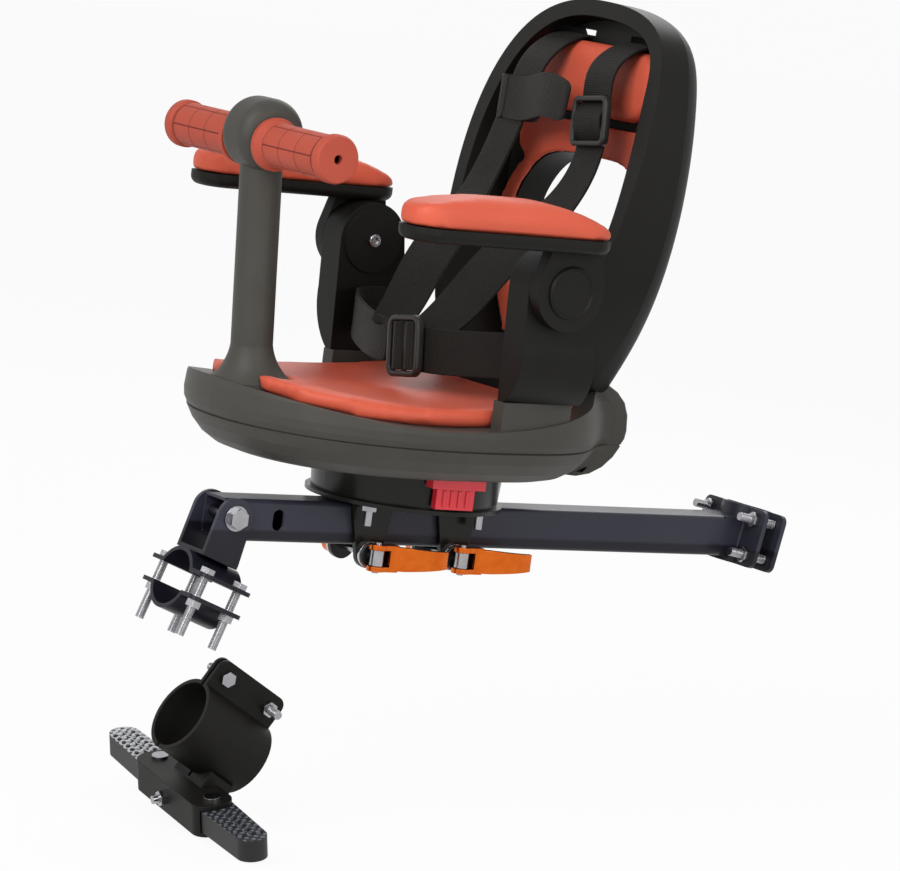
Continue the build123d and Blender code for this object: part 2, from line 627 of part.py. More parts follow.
def clip_on(route, first, width, height, thick, bars):
    """Slide frame lying on the outer face of the webbing between two stations of its route."""
    (p, across), (q, _) = route[first], route[first + 1]
    along = (Vector(*q) - Vector(*p)).normalized()
    wide = Vector(*across)
    wide = (wide - along * wide.dot(along)).normalized()
    out = wide.cross(along).normalized()
    if out.X < 0:
        out = -out
    middle = (Vector(*p) + Vector(*q)) * 0.5 + out * ((STRAP_T + thick) / 2 + STRAP_LIFT)
    return Plane(origin=middle, x_dir=along, z_dir=out) * buckle(width, height, thick, bars)


def harness(shell, posts):
    frame = back_frame()
    level = SLOT_Z + STRAP_T / 2 + STRAP_LIFT
    inner = frame.from_local_coords(Vector(BACK_FACE - 12, 0, level))
    outer = frame.from_local_coords(Vector(BACK_FACE + 12, 0, level))
    flat = (0, 1, 0)
    turned = (-0.5, 0.8, -0.3)
    up = (0, 0, 1)
    hip = POST_Y[0] - STRAP_T / 2 - STRAP_LIFT
    easing = (-0.2, 0.9, -0.3)
    square = (0, 0.9, -0.3)
    left = [((inner.X, STRAP_Y, inner.Z), flat), ((outer.X, STRAP_Y, outer.Z), flat),
            ((215, 43, 341), flat), ((216, 46, 318), flat), ((217, 50, 284), flat), ((222, 46, 258), flat),
            ((236, 40, 232), (-0.2, 1, 0)), ((262, 34, 208), turned), ((282, 30, 184), turned),
            ((297, 26, 160), turned), ((313, 20, 142), easing), ((329, 13, 130), square)]
    right = [((inner.X, -STRAP_Y, inner.Z), flat), ((outer.X, -STRAP_Y, outer.Z), flat),
             ((214, -42, 339), flat), ((215, -50, 314), flat), ((216, -62, 284), flat), ((222, -68, 256), flat),
             ((236, -66, 230), flat), ((262, -52, 208), turned), ((287, -38, 186), turned),
             ((302, -30, 164), turned), ((315, -23, 147), easing), ((330, -16, 134), square)]
    leaning = (-0.033, 0, 1)
    chest = [((217.2, -74, 306), leaning), ((217.2, -36, 306), leaning), ((225, -10, 316), leaning),
             ((225, 23, 311), (0, 0.1, 1))]
    half_belt = [(32, 0), (60, 3), (90, 7), (hip - 3, 9.5), (hip - 0.4, 10), (hip, 11), (hip, 11.5)]
    back = [0, 7, 18, 28, 35, 44, 60]
    belts = {}
    for side, start in ((1, -10), (-1, -13)):
        route = [((BUCKLE_AT[0], start, BUCKLE_AT[1]), up)]
        for (y, rise), x in zip(half_belt, back):
            route.append(((BUCKLE_AT[0] - x, side * y, BUCKLE_AT[1] + rise), up))
        belts[side] = route
    belt = {side: trimmed(strap(route, STRAP_W, STRAP_T), *posts) for side, route in belts.items()}
    left_strap = trimmed(strap(left, STRAP_W, STRAP_T), shell, belt[1], belt[-1])
    right_strap = trimmed(strap(right, STRAP_W, STRAP_T), shell, belt[1], belt[-1])
    save("waist_belt_left", belt[1])
    save("waist_belt_right", belt[-1])
    save("shoulder_strap_left", left_strap)
    save("shoulder_strap_right", right_strap)
    save("chest_strap", trimmed(strap(chest, STRAP_W, STRAP_T), right_strap))
    save("strap_adjuster", trimmed(clip_on(left, 3, 34, 42, 6, 1), left_strap))
    save("waist_buckle", trimmed(clip_on(belts[1], 0, 42, 46, 6, 2), belt[1], belt[-1], right_strap))


def footrest():
    a = radians(FOOT_SLOPE)
    r = radians(FOOT_ROLL)
    p = radians(CHANNEL_PITCH)
    frame = Plane(origin=FOOT_AT, x_dir=(-sin(a) * cos(r), sin(r), cos(a) * cos(r)), z_dir=(cos(a), 0, sin(a)))
    spot = (CHANNEL_AT[0], 0, CHANNEL_AT[1])
    channel = Plane(origin=spot, x_dir=(cos(p), 0, sin(p)), z_dir=(-sin(p), 0, cos(p)))
    edge = FOOT_SPLIT + FOOT_WALL
    low, half = FOOT_BASE
    across = (0, 1, 0)
    studs = [(0, y, STUD_AT[1]) for y in (-STUD_AT[0], STUD_AT[0])]
    down = (-1, 0, 0)

    whole = Cylinder(FOOT_R + FOOT_WALL, 2 * FOOT_HALF_L)
    plate = block((-20, FOOT_TOP), (-edge, edge), (-FOOT_HALF_L, FOOT_HALF_L))
    whole += fillet(plate.edges().filter_by(Axis.Y), 7)
    whole += block((low, -20), (-half, half), FOOT_BASE_D)
    whole -= Cylinder(FOOT_R, 4 * FOOT_HALF_L)
    for s in (-1, 1):
        whole -= rod((FOOT_BOLT[0], 0, s * FOOT_BOLT[1]), across, M6_HOLE, -60, 60)
    for at in studs:
        whole -= rod(at, down, M6_HOLE, STUD[0] - 0.2, 60)
    for name, side in (("left", -1), ("right", 1)):
        other = sorted((side * FOOT_SPLIT, -side * 80))
        save(f"footrest_clamp_{name}", frame * (whole - block((-100, 100), other, (-100, 100))))

    front = (0, 0, CHANNEL_DEPTH)
    along = (0, 0, 1)
    bolts = [channel * bolt(front, along, M6, M6_AF, M6_HEAD, CHANNEL_T + M6_NUT + 5)]
    nuts = [channel * nut((0, 0, CHANNEL_DEPTH + CHANNEL_T), along, M6_THREAD, M6_AF, M6_NUT)]
    for s in (-1, 1):
        head = (FOOT_BOLT[0], -s * edge, s * FOOT_BOLT[1])
        tail = (FOOT_BOLT[0], s * edge, s * FOOT_BOLT[1])
        bolts.append(bolt(head, (0, s, 0), M6, M6_AF, M6_HEAD, 2 * edge + 17))
        nuts.append(nut(tail, (0, s, 0), M6_THREAD, M6_AF, M6_NUT))
    for at in studs:
        bolts.append(rod(at, down, M6, *STUD))
        nuts.append(nut((low - CHANNEL_T, at[1], at[2]), down, M6_THREAD, M6_AF, M6_NUT))
    group("footrest_bolts", [frame * b for b in bolts])
    group("footrest_nuts", [frame * n for n in nuts])

    out = CHANNEL_H + CHANNEL_T
    body = block((-out, out), (-CHANNEL_HALF, CHANNEL_HALF), (-CHANNEL_DEPTH, CHANNEL_DEPTH + CHANNEL_T))
    body = fillet(body.edges().filter_by(Axis.X), 12)
    body -= block((-CHANNEL_H, CHANNEL_H), (-80, 80), (-80, CHANNEL_DEPTH))
    body -= rod(front, along, M6_HOLE, -5, 20)
    for s in (-1, 1):
        body -= rod((0, s * PEDAL_PIN_Y, 0), (1, 0, 0), PEDAL_PIN_R + 0.02, -60, 60)
    carrier = channel * body - block((low, 60), (-half - 2, half + 2), (-80, 80))
    carrier += block((low - CHANNEL_T, low), (-half, half), FOOT_BASE_D)
    for at in studs:
        carrier -= rod(at, down, M6_HOLE, 0, -low + CHANNEL_T + 1)
    save("footrest_carrier", frame * carrier)

    face = Plane(origin=(-PEDAL_T / 2, 0, 0), x_dir=(0, 1, 0), z_dir=(1, 0, 0))
    pins = []
    for name, side in (("left", -1), ("right", 1)):
        at = (0, side * PEDAL_PIN_Y, 0)
        pin = rod(at, (1, 0, 0), PEDAL_PIN_R, -out, out) + rod(at, (1, 0, 0), 6, out, out + 2)
        pins.append(frame * (channel * (pin + hexagon(at, (1, 0, 0), M6_AF, -out - M6_HEAD, -out))))
        root = Pos(side * PEDAL_PIN_Y, 0) * Circle(PEDAL_R)
        tip = Pos(side * (PEDAL_TIP - PEDAL_TIP_R), 0) * Circle(PEDAL_TIP_R)
        pedal = extrude(face * make_hull(root.edges() + tip.edges()), amount=PEDAL_T)
        top = PEDAL_T / 2
        for i in range(TREADS):
            y = side * (TREAD_Y + TREAD_PITCH * i)
            for s in (-1, 1):
                across_z = sorted((s * TREAD_Z[0], s * TREAD_Z[1]))
                pedal += block((top - 0.5, top + TREAD_H), (y - TREAD_HALF, y + TREAD_HALF), across_z)
        pedal -= rod(at, (1, 0, 0), PEDAL_PIN_R + 0.06, -60, 60)
        save(f"pedal_{name}", frame * (channel * pedal))
    group("pedal_pins", pins)


def main():
    save("beam_tube", beam())
    seat_post_clamp()
    top_tube_clamp()
    base_assembly()
    deck, pad = seat()
    post = front_post(deck)
    save("front_post", post)
    bar_and_grips()
    posts = armrests(deck)
    shell = backrest(deck)
    save("seat_cushion", trimmed(pad, post, shell, *posts))
    harness(shell, posts)
    footrest()


main()
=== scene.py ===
# %% [markdown]
# # A child's bike seat, dressed for a photograph
# The solids of the seat arrive as a fixed frame: every bolt, jaw, shell and lever is already where it
# belongs. This lesson gives those solids their finishes, and replaces the soft and patterned pieces, which
# are the foam pads, the rubber grips and the webbing, with meshes that look like the real ones.

# %% Load the frame
import json
import math

import bmesh
import bpy
from mathutils import Matrix, Vector


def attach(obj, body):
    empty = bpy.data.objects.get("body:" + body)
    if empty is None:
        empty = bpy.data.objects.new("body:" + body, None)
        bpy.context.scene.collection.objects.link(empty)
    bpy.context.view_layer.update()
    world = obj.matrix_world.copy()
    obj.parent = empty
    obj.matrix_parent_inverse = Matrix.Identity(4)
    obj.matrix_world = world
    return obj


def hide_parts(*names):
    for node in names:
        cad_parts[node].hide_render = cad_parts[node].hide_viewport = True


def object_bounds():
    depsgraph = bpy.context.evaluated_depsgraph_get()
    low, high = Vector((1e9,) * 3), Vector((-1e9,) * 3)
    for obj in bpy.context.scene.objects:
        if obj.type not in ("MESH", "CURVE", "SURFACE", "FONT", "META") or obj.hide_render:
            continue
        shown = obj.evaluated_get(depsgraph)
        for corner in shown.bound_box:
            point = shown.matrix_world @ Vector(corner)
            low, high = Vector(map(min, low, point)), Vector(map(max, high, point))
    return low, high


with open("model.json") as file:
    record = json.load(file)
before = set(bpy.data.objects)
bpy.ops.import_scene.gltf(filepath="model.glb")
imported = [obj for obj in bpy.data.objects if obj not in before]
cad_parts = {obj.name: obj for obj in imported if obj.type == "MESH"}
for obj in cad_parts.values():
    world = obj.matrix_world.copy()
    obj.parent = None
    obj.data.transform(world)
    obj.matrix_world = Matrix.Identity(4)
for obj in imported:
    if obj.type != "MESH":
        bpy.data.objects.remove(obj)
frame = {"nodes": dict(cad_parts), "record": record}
NODES = frame["nodes"]
BODY_OF = {node: body for body, nodes in frame["record"]["behaviour"]["bodies"].items() for node in nodes}
SLOT_OF = {part["node"]: part["material_slot"] for part in frame["record"]["subparts"]}
CAD_BOX = [list(corner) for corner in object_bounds()]
MM = 0.001
print("frame of", len(NODES), "nodes, box", CAD_BOX)

# %% [markdown]
# ## The camera
# A long lens, standing to the seat's front left and a little above it, and leaning a few degrees, is what
# makes the beam run slightly downhill to the right. The position and the two directions come from matching
# known points of the beam and clamps, so they are given as plain numbers.

# %% Camera
CAMERA_AT = Vector((2.06206, 2.65405, 0.46862))
CAMERA_RIGHT = Vector((-0.831093, 0.540846, 0.129497))
CAMERA_UP = Vector((0.038725, -0.176006, 0.983627))
LENS_MM = 180.0
SENSOR_MM = 36.0

lens = bpy.data.cameras.new("studio_camera")
lens.lens = LENS_MM
lens.sensor_width = SENSOR_MM
camera = bpy.data.objects.new("studio_camera", lens)
turn = Matrix((CAMERA_RIGHT, CAMERA_UP, CAMERA_RIGHT.cross(CAMERA_UP))).transposed()
camera.matrix_world = Matrix.Translation(CAMERA_AT) @ turn.to_4x4()
bpy.context.collection.objects.link(camera)
bpy.context.scene.camera = camera
bpy.context.scene.view_settings.view_transform = "Standard"
print("camera", tuple(round(c, 3) for c in CAMERA_AT))

# %% [markdown]
# ## Shader arithmetic
# A finish is easier to read as a sum than as a web of nodes. The nodes could be placed and linked one by one,
# but then the sum is lost in the links. `Level` wraps one number on the surface and turns `+`, `-` and `*`
# into Math nodes, also where the plain number comes first.


# %% Shader arithmetic
class Level:
    """One number that changes over a surface, as the socket that gives it."""

    def __init__(self, finish, socket):
        self.finish = finish
        self.socket = socket

    def math(self, operation, first, second):
        made = self.finish.node("ShaderNodeMath", {"operation": operation}, {0: first, 1: second})
        return Level(self.finish, made.outputs[0])

    def __add__(self, other):
        return self.math("ADD", self, other)

    def __sub__(self, other):
        return self.math("SUBTRACT", self, other)

    def __mul__(self, other):
        return self.math("MULTIPLY", self, other)

    def __radd__(self, other):
        return self.math("ADD", other, self)

    def __rsub__(self, other):
        return self.math("SUBTRACT", other, self)

    def __rmul__(self, other):
        return self.math("MULTIPLY", other, self)

    def least(self, other):
        return self.math("MINIMUM", self, other)

    def wave(self):
        return self.math("SINE", self, 0.0)

    def size(self):
        return self.math("ABSOLUTE", self, 0.0)

    def root(self):
        return self.math("SQRT", self, 0.0)

    def ramp(self, low, high):
        """0 below the low limit, 1 above the high one, straight between them."""
        limits = {"Value": self, "From Min": low, "From Max": high}
        made = self.finish.node("ShaderNodeMapRange", None, limits)
        return Level(self.finish, made.outputs[0])


print("levels add, subtract and multiply as Math nodes")


# %% [markdown]
# ## One maker for every node
# `Nodes` owns a node tree, and its `node` method makes any node: type, settings, then sockets. `Finish` is
# the tree of one material. It keeps the shader at hand, sets what is the same all over straight on its
# sockets, and offers the few patterns that the finishes of this seat share.


# %% Node makers
class Nodes:
    """A node tree, with one method that makes any node: its type, its settings, then its sockets."""

    def __init__(self, tree):
        self.tree = tree

    def node(self, kind, settings=None, sockets=None):
        made = self.tree.nodes.new(kind)
        for name, value in (settings or {}).items():
            setattr(made, name, value)
        for name, value in (sockets or {}).items():
            self.feed(made.inputs[name], value)
        return made

    def feed(self, socket, value):
        if isinstance(value, Level):
            value = value.socket
        if isinstance(value, bpy.types.NodeSocket):
            self.tree.links.new(value, socket)
        else:
            socket.default_value = value

    def shown(self):
        """1 where a ray shows the backdrop itself: to the eye, in a shine or through something clear."""
        ray = self.node("ShaderNodeLightPath")
        kinds = [Level(self, ray.outputs[f"Is {kind} Ray"]) for kind in ("Camera", "Glossy", "Transmission")]
        return (kinds[0] + kinds[1] + kinds[2]).least(1.0)


class Finish(Nodes):
    """One material: a Principled shader with its plain numbers, and the patterns that feed it."""

    def __init__(self, name, **plain):
        self.material = bpy.data.materials.new(name)
        self.material.use_nodes = True
        super().__init__(self.material.node_tree)
        self.shader = self.tree.nodes["Principled BSDF"]
        for socket, value in plain.items():
            self.shader.inputs[socket.replace("_", " ")].default_value = value

    def place(self):
        return self.node("ShaderNodeTexCoord").outputs["Object"]

    def axes(self):
        """The object coordinate as three levels."""
        apart = self.node("ShaderNodeSeparateXYZ", None, {0: self.place()})
        return [Level(self, socket) for socket in apart.outputs]

    def along(self, direction, start):
        """How far the surface lies along a direction from a starting point, in metres."""
        made = self.node("ShaderNodeVectorMath", {"operation": "DOT_PRODUCT"},
                         {0: self.place(), 1: direction})
        return Level(self, made.outputs["Value"]) - start.dot(direction)

    def cloud(self, scale, detail=3.0, where=None):
        """Soft noise between 0 and 1; the scale counts blobs per metre."""
        made = self.node("ShaderNodeTexNoise", None, {"Vector": where or self.place(), "Scale": scale,
                                                      "Detail": detail, "Roughness": 0.55})
        return Level(self, made.outputs["Fac"])

    def blend(self, share, first, second):
        made = self.node("ShaderNodeMix", {"data_type": "RGBA"}, {"Factor": share, 6: first, 7: second})
        return made.outputs[2]

    def bump(self, height, depth, under=None):
        sockets = {"Height": height, "Strength": 1.0, "Distance": depth}
        if under is not None:
            sockets["Normal"] = under
        return self.node("ShaderNodeBump", None, sockets).outputs["Normal"]

    def soft_edges(self, radius):
        return self.node("ShaderNodeBevel", {"samples": 4}, {"Radius": radius}).outputs["Normal"]

    def set(self, **links):
        for socket, value in links.items():
            self.feed(self.shader.inputs[socket.replace("_", " ")], value)
        return self.material


def rgb(red, green, blue):
    """Screen colour, 0 to 255, as the linear colour that a shader wants."""
    linear = [c / 12.92 if c <= 0.04045 else ((c + 0.055) / 1.055) ** 2.4 for c in
              (red / 255, green / 255, blue / 255)]
    return (*linear, 1.0)


print("white as a linear colour:", rgb(255, 255, 255))


# %% [markdown]
# ## Moulded, painted and plated finishes
# Moulded plastic has a fine spark-eroded grain, so its gloss breaks up without any visible pattern. Paint on
# the beam is smoother, with a faint orange peel. Plated bolts and anodised levers are metals, and differ
# only in colour and in how evenly they shine. All of them get slightly rounded edges from a Bevel node,
# because no real edge is perfectly sharp and the thin bright line along it says so.


# %% Plastic, metal and paint
# Heights of the painted reflection band: below them the beam is painted darker.
PAINTED_BEAM_REFLECTION = (-0.0075, -0.0055)


def moulded(name, dark, light, rough, grain, depth, edge, **plain):
    made = Finish(name, **plain)
    mottle = made.cloud(38.0, 4.0)
    fine = made.cloud(grain, 2.0)
    smear = made.cloud(9.0, 2.0)
    color = made.blend(mottle, dark, light)
    return made.set(Base_Color=color, Roughness=rough + (smear - 0.5) * 0.16 + (fine - 0.5) * 0.1,
                    Normal=made.bump(fine, depth, made.soft_edges(edge)))


def plated(name, dark, light, rough, edge, streak):
    made = Finish(name, Metallic=1.0)
    drawn = made.node("ShaderNodeMapping", None, {"Vector": made.place(), "Scale": streak})
    lines = made.cloud(1.0, 3.0, drawn.outputs[0])
    tarnish = made.cloud(120.0, 4.0)
    return made.set(Base_Color=made.blend(tarnish, dark, light), Roughness=rough + (lines - 0.5) * 0.22,
                    Normal=made.soft_edges(edge))


def painted(name, dark, light, rough):
    """Gloss paint, with a painted reflection: the beam is painted darker below its middle."""
    made = Finish(name, Specular_IOR_Level=0.26)
    peel = made.cloud(420.0, 2.0)
    tone = made.cloud(14.0, 3.0)
    # Painted reflection: a dark band painted on the lower part of the beam, mixed with a random tone.
    low = 1.0 - made.axes()[2].ramp(*PAINTED_BEAM_REFLECTION)
    color = made.blend((low * 0.8 + tone * 0.3).least(1.0), light, dark)
    return made.set(Base_Color=color, Roughness=rough + (tone - 0.5) * 0.12,
                    Normal=made.bump(peel, 0.00004, made.soft_edges(0.0006)))


FINISHES = {
    "grey_plastic": moulded("seat_shell_plastic", rgb(57, 55, 51), rgb(67, 65, 60), 0.5, 1500.0,
                            0.00006, 0.0008, Specular_IOR_Level=0.22),
    "black_plastic": moulded("backrest_plastic", rgb(14, 13, 11), rgb(21, 20, 17), 0.5, 1300.0,
                             0.00005, 0.0009, Specular_IOR_Level=0.16),
    "base_plastic": moulded("turntable_plastic", rgb(14, 14, 11), rgb(22, 21, 17), 0.24, 500.0,
                            0.00002, 0.0007, Specular_IOR_Level=0.26),
    "buckle_plastic": moulded("buckle_plastic", rgb(26, 26, 24), rgb(40, 40, 37), 0.34, 1500.0,
                              0.00004, 0.0005, Specular_IOR_Level=0.28),
    "red_plastic": moulded("latch_plastic", rgb(198, 24, 40), rgb(228, 46, 58), 0.24, 600.0,
                           0.00003, 0.0009, Coat_Weight=0.3),
    "beam_paint": painted("beam_paint", rgb(20, 20, 29), rgb(50, 50, 62), 0.34),
    "zinc": plated("bright_zinc", rgb(142, 142, 146), rgb(182, 182, 185), 0.19, 0.0004, (900, 60, 900)),
    "bar_steel": plated("satin_steel", rgb(70, 70, 70), rgb(96, 96, 96), 0.4, 0.0004, (60, 900, 60)),
    "orange_alloy": plated("orange_anodised", rgb(196, 80, 18), rgb(222, 118, 44), 0.2, 0.0006,
                           (50, 900, 900)),
}
print("finishes for slots:", ", ".join(FINISHES))

# %% [markdown]
# ## Cup washers
# The washers of the quick-release skewers are black cups with a bare bright rim. Two materials would need the
# rim's faces to be picked out, so one material finds the rim itself: it is what lies far enough from the axis
# of a skewer. The two skewers stand either side of the base, so a fold of X serves both.

# %% Cup washers
BASE_X = 0.305
SKEWER_OFF = 0.036
SKEWER_Z = -0.0205
CUP_RIM = (0.0083, 0.0087)


def washers():
    """Black cups with a bare bright rim, all four round the two skewers."""
    made = Finish("black_cup_bright_rim")
    x, _, z = made.axes()
    off = (x - BASE_X).size() - SKEWER_OFF
    down = z - SKEWER_Z
    reach = (off * off + down * down).root()
    rim = reach.ramp(*CUP_RIM)
    worn = made.cloud(300.0, 3.0)
    return made.set(Base_Color=made.blend(rim, rgb(16, 16, 16), rgb(196, 196, 198)), Metallic=rim,
                    Roughness=0.34 - rim * 0.12 + (worn - 0.5) * 0.1, Normal=made.soft_edges(0.0005))


CUPS = washers()
print("washers:", CUPS.name)

# %% [markdown]
# ## Pedal treads
# Each pedal is black rubber with a tread on its upper face. The tones of the tread are painted light: the far
# pedal's top is painted light grey as a painted reflection over dark pits, and the near pedal's top stays dark
# with its grid painted in light lines as painted highlights. The footrest leans and its pedals are pitched in
# it, so the pattern needs the pedal's own directions: up from the tread, ahead and across. Two waves along
# those directions make the grid of pits, and the height above the pedal's middle says where the tread is.

# %% Pedal treads
FOOT_AT = Vector((0.439, 0.0, -0.157))
FOOT_SLOPE, FOOT_ROLL, CHANNEL_PITCH = (math.radians(angle) for angle in (30.0, 7.0, 43.0))
FOOT_X = Vector((-math.sin(FOOT_SLOPE) * math.cos(FOOT_ROLL), math.sin(FOOT_ROLL),
                 math.cos(FOOT_SLOPE) * math.cos(FOOT_ROLL)))
FOOT_Z = Vector((math.cos(FOOT_SLOPE), 0.0, math.sin(FOOT_SLOPE)))
PEDAL_UP = FOOT_X * math.cos(CHANNEL_PITCH) + FOOT_Z * math.sin(CHANNEL_PITCH)
PEDAL_AHEAD = FOOT_Z * math.cos(CHANNEL_PITCH) - FOOT_X * math.sin(CHANNEL_PITCH)
PEDAL_AT = FOOT_AT - FOOT_X * 0.0425 - FOOT_Z * 0.011
TREAD_TOP = (0.0074, 0.0079)
ROW_WAVES = 900.0
LINE_WAVES = 850.0


def treaded(name, top_tone_painted_light, pit_tone_painted_light):
    """Black rubber with a tread on top: a close grid of small pits in another tone, the tones painted light.
    """
    made = Finish(name, Specular_IOR_Level=0.4)
    raised = made.along(PEDAL_UP, PEDAL_AT).ramp(*TREAD_TOP)
    rows = (made.along(PEDAL_AHEAD, PEDAL_AT) * ROW_WAVES).wave()
    lines = (made.along(PEDAL_UP.cross(PEDAL_AHEAD), PEDAL_AT) * LINE_WAVES).wave()
    scuff = made.cloud(420.0, 4.0)
    pits = (rows * lines + (scuff - 0.5) * 0.9).ramp(0.1, 0.3)
    fine = made.cloud(1400.0, 2.0)
    # Painted light: the tones of the tread's top and pits stand in for reflection and highlights on the
    # rubber.
    tread = made.blend(pits, top_tone_painted_light, pit_tone_painted_light)
    return made.set(Base_Color=made.blend(raised, rgb(17, 16, 16), tread), Roughness=0.5 + (fine - 0.5) * 0.2,
                    Normal=made.bump(fine * 0.2 - pits * raised, 0.0003, made.soft_edges(0.0006)))


TREADS = {
    # The far pedal's light grey top is a painted reflection; the near pedal's light lines are painted
    # highlights.
    "pedal_left": treaded("pedal_left_rubber_painted_highlight", rgb(24, 25, 28), rgb(92, 95, 103)),
    "pedal_right": treaded("pedal_right_rubber_painted_reflection", rgb(186, 187, 191), rgb(40, 40, 42)),
}
print("treads:", ", ".join(TREADS))

# %% [markdown]
# ## Dressing the solids
# The record gives every node a material slot. A node takes the finish of its slot, unless it has one of its
# own, as the cup washers and the pedals have. Foam, rubber and webbing come later with their new meshes.

# %% Dressing the solids
OWN_FINISH = {"qr_cup_washers": CUPS, **TREADS}
dressed = 0
for node, piece in NODES.items():
    finish = OWN_FINISH.get(node) or FINISHES.get(SLOT_OF[node])
    if finish:
        dressed += 1
        for spot in piece.material_slots:
            spot.material = finish
print("dressed", dressed, "of", len(NODES), "nodes")

# %% [markdown]
# ## Foam and rubber
# The coral pads are moulded soft foam with a closed skin. Up close the skin has a very fine pebble, and
# the colour drifts a little between the crown and the pressed edges. The grips are a firmer rubber of the
# same colour, duller, with painted shade that darkens the grooves between their blocks. A groove is where
# the surface lies nearer to the handlebar's axis than the tops of the blocks, so the distance from that axis
# is the mask of the painted shade.


# %% Soft finishes
BAR_X = 0.461
BAR_Z = 0.263
GROOVE_FLOOR = 0.01475
GROOVE_TOP = 0.01515
GROOVES_END = 0.0972
GROOVES_FADE = 0.0002


def groove_shade_mask(made):
    """Mask of the painted groove shade: 1 on the floor of the grips' grooves, 0 on the blocks, the flanges and
    the end faces.
    """
    x, y, z = made.axes()
    reach = ((x - BAR_X) * (x - BAR_X) + (z - BAR_Z) * (z - BAR_Z)).root()
    barrel = (GROOVES_END - y.size()).ramp(0.0, GROOVES_FADE)
    return (1.0 - reach.ramp(GROOVE_FLOOR, GROOVE_TOP)) * barrel


def foam(name, dark, light, rough, painted_groove_shade=None):
    """A soft skin with a fine pebble; a grip's rubber also gives the painted shade colour of its grooves."""
    made = Finish(name, Specular_IOR_Level=0.22)
    drift = made.cloud(16.0, 3.0)
    fine = made.cloud(900.0, 3.0)
    pebble = made.node("ShaderNodeTexVoronoi", None, {"Vector": made.place(), "Scale": 1400.0})
    cells = Level(made, pebble.outputs["Distance"])
    color = made.blend(drift, dark, light)
    # Painted shade: the grooves of a grip are painted darker.
    if painted_groove_shade:
        color = made.blend(groove_shade_mask(made), color, painted_groove_shade)
    return made.set(Base_Color=color, Roughness=rough + (fine - 0.5) * 0.14,
                    Normal=made.bump(cells * 0.7 + fine * 0.3, 0.00005))


FOAM = foam("coral_foam", rgb(192, 80, 58), rgb(208, 94, 70), 0.48)
# The third colour is painted shade for the grips' grooves.
GRIP = foam("coral_rubber_painted_groove_shade", rgb(158, 66, 50), rgb(178, 80, 62), 0.6, rgb(92, 32, 24))
print("soft finishes:", FOAM.name, GRIP.name)


# %% [markdown]
# ## Woven webbing
# Harness webbing is woven: yarns run across it and dive under the lengthwise ones, which shows as fine ribs
# along its length and a slightly raised, tighter border. The pattern follows the strap, so it reads the
# strap's own map, where one unit is one metre of webbing both ways.


# %% Webbing finish
RIB_WAVES = 3700.0
YARN_WAVES = 5200.0


def webbing(name, dark, light):
    made = Finish(name, Sheen_Weight=0.04, Sheen_Roughness=0.4, Specular_IOR_Level=0.16)
    spread = made.node("ShaderNodeSeparateXYZ", None, {0: made.node("ShaderNodeUVMap").outputs[0]})
    across = Level(made, spread.outputs[0])
    along = Level(made, spread.outputs[1])
    ribs = (along * RIB_WAVES).wave()
    yarns = (across * YARN_WAVES).wave()
    weave = ribs * 0.5 + yarns * ribs * 0.35 + 0.5
    lint = made.cloud(240.0, 4.0)
    sheen = made.cloud(30.0, 3.0)
    color = made.blend((weave * 0.5 + lint * 0.5).least(1.0), dark, light)
    return made.set(Base_Color=color, Roughness=0.5 + (sheen - 0.5) * 0.3 + weave * 0.1,
                    Normal=made.bump(weave + lint * 0.3, 0.00022))


WEBBING = webbing("black_webbing", rgb(9, 8, 7), rgb(30, 28, 24))
print("webbing finish:", WEBBING.name)


# %% [markdown]
# ## Setting a piece on the seat
# Every new piece is finished at the origin with its place in its mesh, and rides on the body of a node. It
# stands for that node and hides it, unless it is an extra beside the node, such as a thread on a bolt.
# Modifiers round edges and surfaces, because they can still be changed after the mesh is made.


# %% Setting helpers
def finished(name, mesh_or_bm, material, node, stands=True):
    """Make an object on the body of a node; unless it is an extra beside the node, it stands for the node."""
    if isinstance(mesh_or_bm, bmesh.types.BMesh):
        mesh = bpy.data.meshes.new(name)
        mesh_or_bm.to_mesh(mesh)
        mesh_or_bm.free()
    else:
        mesh = mesh_or_bm
    piece = bpy.data.objects.new(name, mesh)
    bpy.context.collection.objects.link(piece)
    mesh.materials.clear()
    mesh.materials.append(material)
    for face in mesh.polygons:
        face.use_smooth = True
    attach(piece, BODY_OF[node])
    if stands:
        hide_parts(node)
    return piece


def add_subdivision(piece, levels):
    more = piece.modifiers.new("smoother", "SUBSURF")
    more.levels = levels
    more.render_levels = levels


def soften(piece, width, segments=2, angle=35.0):
    """Round every edge that is sharper than an angle in degrees."""
    edge = piece.modifiers.new("soft_edges", "BEVEL")
    edge.width = width
    edge.segments = segments
    edge.limit_method = "ANGLE"
    edge.angle_limit = math.radians(angle)
    edge.harden_normals = True


def as_mesh(piece):
    """The mesh that a piece's modifiers give, as a new mesh."""
    graph = bpy.context.evaluated_depsgraph_get()
    graph.update()
    return bpy.data.meshes.new_from_object(piece.evaluated_get(graph))


print("bodies to ride on:", len(set(BODY_OF.values())))


# %% [markdown]
# ## Foam pads
# The coral pads are foam in a closed skin. A pad starts as a copy of its solid. A voxel remesh gives it an
# even skin, a few rounds of smoothing relax its edges, and Blender's cloth solver then blows the skin up a
# little. A cap keeps the swelling to what foam shows, and one subdivision ends it. The swelling could be
# sculpted point by point, but pressure gives the same soft crown on every pad.


# %% Foam pads
CLOTH_STEPS = 12
PADS = {
    "armrest_pad_left": (0.003, 2.0, 0.0008, 4),
    "armrest_pad_right": (0.003, 2.0, 0.0008, 4),
    "head_pad": (0.003, 2.0, 0.0008, 4),
    "seat_cushion": (0.004, 2.0, 0.001, 3),
    "back_liner": (0.002, 1.0, 0.0003, 1),
}


